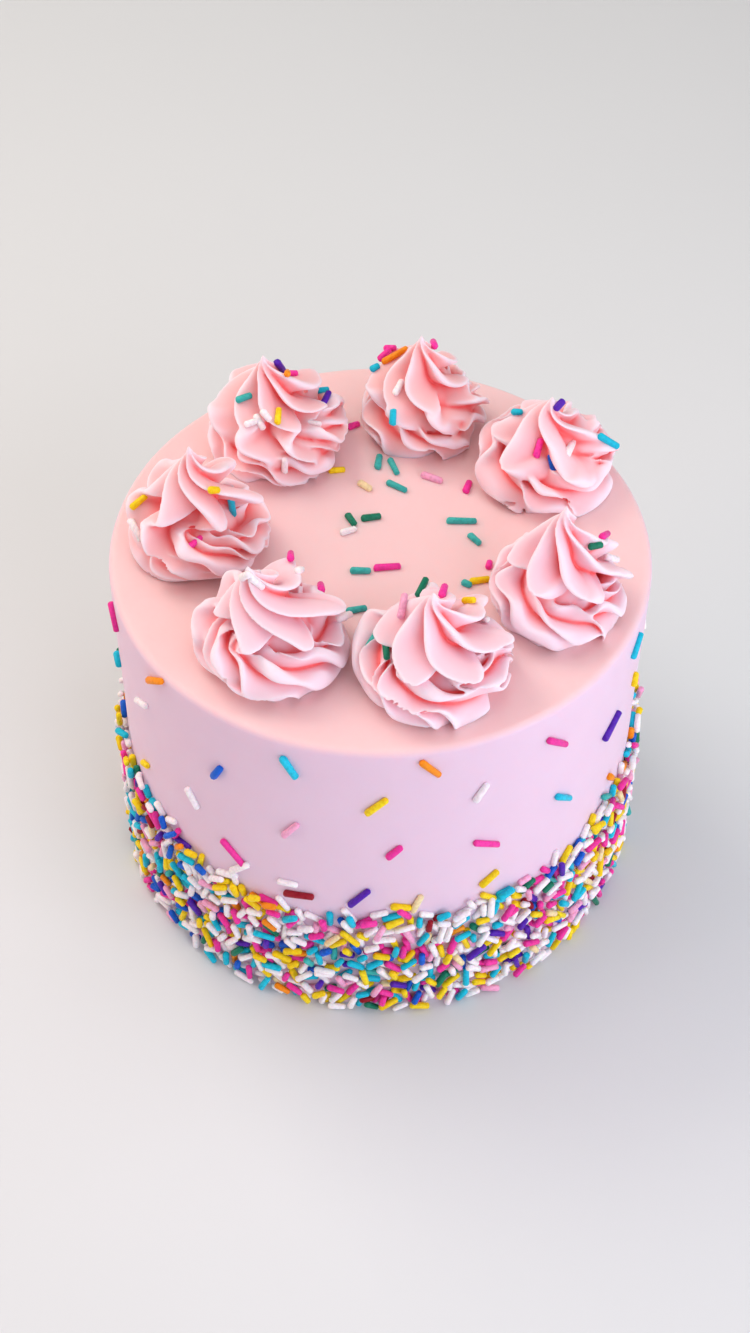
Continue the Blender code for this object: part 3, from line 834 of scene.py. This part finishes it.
def sprinkle_tree():
    """Turn each point into a sugar rod with round ends, by the point's own attributes"""
    graph, given = geometry_tree("sugar_sprinkles", SPRINKLE_INPUTS)

    def own(name, kind="FLOAT"):
        return graph.add("GeometryNodeInputNamedAttribute", Name=name,
                         data_type=kind)["Attribute"]

    def keep_position(geometry, name):
        position = graph.add("GeometryNodeInputPosition")["Position"]
        return graph.shape("StoreNamedAttribute", Geometry=geometry, Name=name, Value=position,
                           data_type="FLOAT_VECTOR")

    points = keep_position(given["Geometry"], "anchor")
    ball = graph.add("GeometryNodeMeshUVSphere", given["Segments"], given["Rings"], 1.0)["Mesh"]
    ball = keep_position(ball, "local")
    many = graph.add("GeometryNodeInstanceOnPoints", Points=points, Instance=ball)["Instances"]
    real = graph.shape("RealizeInstances", Geometry=many)
    local = graph.split(own("local", "FLOAT_VECTOR"))
    radius = given["Radius"] * own("thick")
    half = 0.5 * own("length") - radius
    side = graph.math("SIGN", local["Z"])
    end = radius * 0.8
    z = side * half + local["Z"] * end
    share = z / graph.math("MAXIMUM", half, 0.1 * MM)
    sag = own("bend") * MM * (0.5 - share * share)
    rod = graph.vector(local["X"] * radius, local["Y"] * radius, z)
    rod = graph.vector_sum(rod, graph.vector(sag, 0.0, 0.0))
    turned = graph.add("ShaderNodeVectorRotate", Vector=rod, rotation_type="EULER_XYZ",
                       Rotation=own("turn", "FLOAT_VECTOR"))["Vector"]
    place = graph.vector_sum(turned, own("anchor", "FLOAT_VECTOR"))
    moved = graph.shape("SetPosition", Geometry=real, Position=place)
    end_tree(graph, moved, given["Material"])
    return graph


def sprinkle_material(name, colour):
    """Coloured sugar: waxy, with a slightly different tone in each rod and fine grains"""
    material, graph, place = shader_graph("sugar_" + name)
    grain = graph.noise(place, 900, 2.0)
    full = (*colour, 1)
    light = (*(min(1.12 * channel + 0.012, 0.97) for channel in colour), 1)
    deep = (*(0.88 * channel for channel in colour), 1)
    tone = graph.colour_mix(graph.attribute("tint"), full, light)
    return finish_material(material, graph, {
        "Base Color": graph.colour_mix(graph.ease(grain, 0.62, 0.30), tone, deep),
        "Roughness": 0.34 + 0.2 * grain,
        "Normal": graph.bump(0.15, 0.1 * MM, grain),
        "Specular IOR Level": 0.22,
        "Subsurface Weight": 0.25,
        "Subsurface Scale": 0.8 * MM,
    })


def make_sprinkles(rods, look):
    """One piece for each colour"""
    graph = sprinkle_tree()
    for colour, (tone, _) in SPRINKLE_COLOURS.items():
        rows = rods.rows[colour]
        if not rows:
            continue
        name = "sprinkles_" + colour
        mesh = bpy.data.meshes.new(name)
        mesh.from_pydata([tuple(row[0]) for row in rows], [], [])
        store(mesh, "turn", [part for row in rows for part in row[1]], "FLOAT_VECTOR")
        for label, column in (("length", 2), ("bend", 3), ("thick", 4), ("tint", 5)):
            store(mesh, label, [row[column] for row in rows])
        piece = new_piece(name, mesh)
        values = {"Radius": look.radius, "Segments": ROD_SEGMENTS, "Rings": ROD_RINGS,
                  "Material": sprinkle_material(colour, tone)}
        run_tree(piece, graph, values)
        smooth_shade(bake_modifiers(piece))
        finish_piece(piece)


def lay_loose(rods, look):
    """The sprinkles that can be told apart on the top and side"""
    high = LOOSE_HEIGHT * look.radius
    for colour, x, y, length, turn in TOP_SPRINKLES:
        angle = math.radians(turn)
        along = Vector((math.cos(angle), math.sin(angle), 0))
        rods.lay(colour, Vector((x * MM, y * MM, CAKE_HEIGHT)), Vector((0, 0, 1)), along,
                 length * MM, high)
    for colour, azimuth, height, length, lean in SIDE_SPRINKLES:
        lay_on_side(rods, colour, azimuth, height * MM, length * MM, lean, high)


def lay_on_side(rods, colour, azimuth, height, length, lean, high, slim=1.0, tip=0.0):
    """A sprinkle on the upright side, leaning from level, one end tipped outwards"""
    x, y = around(azimuth, 1)
    out = Vector((x, y, 0))
    level = Vector((-y, x, 0))
    tilt = math.radians(lean)
    along = level * math.cos(tilt) + Vector((0, 0, math.sin(tilt)))
    middle = out * (CAKE_RADIUS + high) + Vector((0, 0, height))
    rods.lay(colour, middle, out - along * tip, along, length, 0.0, slim)


# How far over the cake the middle of a swirl is taken to lie
SWIRL_MIDDLE = 18 * MM
# A seen sprinkle may be this many times as long as it looks, on the side and on a swirl
SIDE_STRETCH = 1.6
SWIRL_STRETCH = 1.15
# The least slope at which a surface is taken to face the camera
LEAST_FACING = 0.35
SEARCH_STEPS = 80


def lay_seen(rods, look):
    """Sprinkles placed by pixel: each lies where the camera's ray through it meets the icing"""
    camera = camera_matrix(bpy.context.scene.stage_look)
    high = CAKE_HEIGHT + SWIRL_MIDDLE
    swirls = {"piped_" + name: Vector((*around(azimuth, distance * MM), high))
              for name, azimuth, distance, *_ in SWIRLS}
    cake = {"iced_cake": Vector((0, 0, CAKE_HEIGHT / 2))}
    for rows, carriers, most in ((NEAR_SPRINKLES, cake, SIDE_STRETCH),
                                 (SWIRL_SPRINKLES, swirls, SWIRL_STRETCH)):
        graph = bpy.context.evaluated_depsgraph_get()
        trees = [BVHTree.FromObject(bpy.data.objects[name], graph) for name in carriers]
        middles = [pixel_of(camera, middle) for middle in carriers.values()]
        for colour, pixel_x, pixel_y, turn, length in rows:
            start = Vector((pixel_x, pixel_y))
            aim = min(middles, key=lambda middle: (middle - start).length)
            ray, point, normal = nearest_seen(camera, trees, start, aim)
            angle = math.radians(turn)
            seen = camera.col[0].xyz * math.cos(angle) + camera.col[1].xyz * math.sin(angle)
            facing = min(normal.dot(ray), -LEAST_FACING)
            along = seen - ray * (seen.dot(normal) / facing)
            length *= min(along.length, most)
            rods.lay(colour, point, normal, along, length * MM, LOOSE_HEIGHT * look.radius)


def pixel_of(camera, point):
    """Where the camera sees a point, in the photograph's pixels"""
    seen = camera.inverted() @ point
    scale = CAMERA_FOCAL_PIXELS / -seen.z
    return Vector((PHOTO_WIDTH / 2 + seen.x * scale, PHOTO_HEIGHT / 2 - seen.y * scale))


def nearest_seen(camera, trees, start, aim):
    """The ray, point and normal of the first pixel from start towards aim that meets a surface"""
    for share in np.linspace(0, 1, SEARCH_STEPS):
        pixel = start + (aim - start) * share
        across = (pixel.x - PHOTO_WIDTH / 2) / CAMERA_FOCAL_PIXELS
        upward = (PHOTO_HEIGHT / 2 - pixel.y) / CAMERA_FOCAL_PIXELS
        ray = (camera.to_3x3() @ Vector((across, upward, -1))).normalized()
        hits = [tree.ray_cast(camera.translation, ray) for tree in trees]
        hits = [hit for hit in hits if hit[0] is not None]
        if hits:
            point, normal, _, _ = min(hits, key=lambda hit: hit[3])
            return ray, point, normal
    raise RuntimeError("no surface is seen near the pixel")


def gap_between(start, end, starts, ends):
    """The least distance in the plane from one straight stretch to each of many"""
    def to_stretch(point, a, b):
        run = b - a
        share = ((point - a) * run).sum(-1) / np.maximum((run * run).sum(-1), 1e-12)
        nearest = a + np.clip(share, 0, 1)[..., None] * run
        return np.sqrt(((point - nearest) ** 2).sum(-1))

    def side(a, b, point):
        run, offset = b - a, point - a
        return run[..., 0] * offset[..., 1] - run[..., 1] * offset[..., 0]

    gap = np.min([to_stretch(starts, start, end), to_stretch(ends, start, end),
                  to_stretch(start, starts, ends), to_stretch(end, starts, ends)], 0)
    crossing = side(start, end, starts) * side(start, end, ends) < 0
    crossing &= side(starts, ends, start) * side(starts, ends, end) < 0
    return np.where(crossing, 0.0, gap)


# How high the middle of a sprinkle may lie in each layer of the coat, in sprinkle radii
COAT_LAYERS = (0.8, 1.6, 2.3, 3.0)
# In sprinkle radii: how high the lowest lie, how close two come, and an end's least height
COAT_REST = 0.7
COAT_TOUCH = 1.8
FLOOR_GAP = 1.4
# The sprinkles' lengths, and how far some stray over the edge, in millimetres
COAT_LENGTHS = (5.0, 8.2)
COAT_STRAY = 0.9
# How far a sprinkle's end may tip outwards, as a slope
COAT_TIP = 0.16
# The edge's waves: size in millimetres, how many go round and where they start
EDGE_WAVES = ((1.8, 5, 0.6), (1.6, 13, 1))
# The edge's reach over its middle height, and the reach of neighbours
EDGE_REACH = 9 * MM
NEAR_REACH = 10 * MM


def coat_edge(angle, look):
    """The height of the coat's uneven upper edge at an angle round the cake"""
    waves = sum(size * math.sin(count * angle + start) for size, count, start in EDGE_WAVES)
    return look.coat_top + look.coat_rise * math.sin(angle) ** 2 + waves * MM


def lay_coat(rods, look):
    """Throw sprinkles at the foot of the side: each rests on the icing or on those below it"""
    draw = np.random.default_rng(look.seed)
    names = list(SPRINKLE_COLOURS)
    shares = np.array([share for _, share in SPRINKLE_COLOURS.values()])
    shares /= shares.sum()
    girth = TAU * CAKE_RADIUS
    tries = COAT_TRIES * len(COAT_LAYERS)
    starts = np.zeros((tries, 2))
    ends = np.zeros((tries, 2))
    highs = np.zeros(tries)
    count = 0
    radius = look.coat_radius
    for attempt in range(tries):
        length = draw.uniform(*COAT_LENGTHS) * MM
        lean = math.radians(draw.uniform(-90, 90))
        tip = draw.normal(0, COAT_TIP)
        distance = draw.uniform(0, girth)
        angle = distance / CAKE_RADIUS
        height = draw.uniform(0, look.coat_top + look.coat_rise + EDGE_REACH)
        colour = names[draw.choice(len(names), p=shares)]
        stray = draw.exponential(COAT_STRAY * MM)
        if height > coat_edge(angle, look) + stray:
            continue
        half = np.array([math.cos(lean), math.sin(lean)]) * (length / 2 - radius)
        height = max(height, abs(half[1]) + FLOOR_GAP * radius)
        middle = np.array([distance, height])
        away = (starts[:count, 0] + ends[:count, 0]) / 2 - distance
        near = np.flatnonzero(np.minimum(np.abs(away), girth - np.abs(away)) < NEAR_REACH)
        shift = np.round(-away[near, None] / girth) * (girth, 0)
        gap = gap_between(middle - half, middle + half, starts[near] + shift, ends[near] + shift)
        touch = COAT_TOUCH * radius
        over = highs[near] + np.sqrt(np.clip(touch ** 2 - gap ** 2, 0, None))
        high = max([COAT_REST * radius, *over[gap < touch]])
        if high > COAT_LAYERS[attempt // COAT_TRIES] * radius:
            continue
        starts[count] = middle - half
        ends[count] = middle + half
        highs[count] = high
        count += 1
        tip *= min(high / radius - COAT_REST, 1)
        lay_on_side(rods, colour, math.degrees(angle), height, length, math.degrees(lean), high,
                    radius / look.radius, tip)


class CAKE_OT_sprinkles(bpy.types.Operator):
    """Scatter the sprinkles: loose ones on the icing and a dense coat round the foot"""

    bl_idname = "cake.sprinkles"
    bl_label = "Sprinkles"

    def execute(self, context):
        look = context.scene.sprinkle_look
        rods = Rods()
        lay_loose(rods, look)
        lay_seen(rods, look)
        lay_coat(rods, look)
        make_sprinkles(rods, look)
        return {"FINISHED"}


# Stage

class StageLook(bpy.types.PropertyGroup):
    """The camera, the light and the floor"""

    pitch: FloatProperty(
        name="Pitch", description="How far the camera looks down", subtype="ANGLE",
        default=math.radians(48.59))
    roll: FloatProperty(
        name="Roll", description="How far the camera leans", subtype="ANGLE", default=math.radians(0.57))
    distance: FloatProperty(
        name="Distance", description="From the camera to the cake", unit="LENGTH", default=0.6976)
    aim: FloatVectorProperty(
        name="Aim", description="The point that the camera looks at", subtype="TRANSLATION", size=3,
        default=(-1.3 * MM, 0, 72.3 * MM))
    floor_colour: FloatVectorProperty(
        name="Floor", description="Colour of the floor", subtype="COLOR", size=4,
        default=(0.71, 0.765, 0.765, 1))
    sky_colour: FloatVectorProperty(
        name="Sky", description="Colour of the light all round", subtype="COLOR", size=4,
        default=(1.0, 0.92, 0.95, 1))
    sky_strength: FloatProperty(name="Sky strength", description="Light from all round", default=0.32)
    light: FloatProperty(name="Light", description="Strength of the soft lights", default=1.0)


def camera_matrix(look):
    """The camera's place and turn"""
    ahead = Vector((0, math.cos(look.pitch), -math.sin(look.pitch)))
    side = Vector((1, 0, 0))
    up = side.cross(ahead)
    right = side * math.cos(look.roll) + up * math.sin(look.roll)
    top = up * math.cos(look.roll) - side * math.sin(look.roll)
    place = Vector(look.aim) - ahead * look.distance
    return Matrix.Translation(place) @ Matrix((right, top, -ahead)).transposed().to_4x4()


def add_softbox(name, place, aim, size, power, colour):
    """A square soft light that faces a point"""
    light = bpy.data.lights.new(name, "AREA")
    light.energy = power
    light.size = size
    light.color = colour
    lamp = new_piece(name, light)
    lamp.location = place
    lamp.rotation_euler = (Vector(aim) - Vector(place)).to_track_quat("-Z", "Y").to_euler()


def floor_material(colour):
    """A pale matt floor with hardly any grain"""
    material, graph, place = shader_graph("pale_floor")
    cloud = graph.noise(place, 6.0, 3.0)
    shade = tuple(0.97 * channel for channel in colour[:3]) + (1,)
    tone = graph.colour_mix(cloud, tuple(colour), shade)
    return finish_material(material, graph, {"Base Color": tone, "Roughness": 0.6})


class CAKE_OT_stage(bpy.types.Operator):
    """Set the camera, the soft lights and the pale floor"""

    bl_idname = "cake.stage"
    bl_label = "Stage"

    def execute(self, context):
        look = context.scene.stage_look
        lens = bpy.data.cameras.new("view")
        lens.sensor_width = SENSOR
        lens.lens = CAMERA_FOCAL_PIXELS / PHOTO_HEIGHT * SENSOR
        lens.clip_start = 0.01
        camera = new_piece("view", lens)
        camera.matrix_world = camera_matrix(look)
        context.scene.camera = camera
        for name, place, size, power, colour in SOFTBOXES:
            add_softbox(name, place, look.aim, size, power * look.light, colour)
        context.scene.view_settings.view_transform = "Standard"
        world = bpy.data.worlds.new("sky")
        world.use_nodes = True
        sky = world.node_tree.nodes["Background"]
        sky.inputs["Color"].default_value = look.sky_colour
        sky.inputs["Strength"].default_value = look.sky_strength
        context.scene.world = world
        mesh = bpy.data.meshes.new("floor")
        corners = [(x * FLOOR_HALF, y * FLOOR_HALF, 0) for x, y in CORNERS]
        mesh.from_pydata(corners, [], [range(len(CORNERS))])
        mesh.materials.append(floor_material(look.floor_colour))
        new_piece("floor", mesh)
        return {"FINISHED"}


class CAKE_PT_pieces(bpy.types.Panel):
    """Lists the cake's pieces in the sidebar"""

    bl_idname = "CAKE_PT_pieces"
    bl_label = "Frosted layer cake"
    bl_space_type = "VIEW_3D"
    bl_region_type = "UI"
    bl_category = "Cake"

    def draw(self, context):
        for operator in OPERATORS:
            self.layout.operator(operator.bl_idname)
        for name in LOOKS:
            look = getattr(context.scene, name)
            box = self.layout.box()
            for label in look.__annotations__:
                box.prop(look, label)


LOOKS = {"cake_look": CakeLook, "swirl_look": SwirlLook, "sprinkle_look": SprinkleLook,
         "stage_look": StageLook}
OPERATORS = (CAKE_OT_iced_cake, CAKE_OT_swirls, CAKE_OT_sprinkles, CAKE_OT_stage)


def register():
    for name, look in LOOKS.items():
        bpy.utils.register_class(look)
        setattr(bpy.types.Scene, name, PointerProperty(type=look))
    for kind in (*OPERATORS, CAKE_PT_pieces):
        bpy.utils.register_class(kind)


def unregister():
    for kind in reversed((*OPERATORS, CAKE_PT_pieces)):
        bpy.utils.unregister_class(kind)
    for name, look in LOOKS.items():
        delattr(bpy.types.Scene, name)
        bpy.utils.unregister_class(look)


def main():
    register()
    bpy.ops.cake.iced_cake()
    bpy.ops.cake.swirls()
    bpy.ops.cake.sprinkles()
    bpy.ops.cake.stage()


if __name__ == "__main__":
    main()
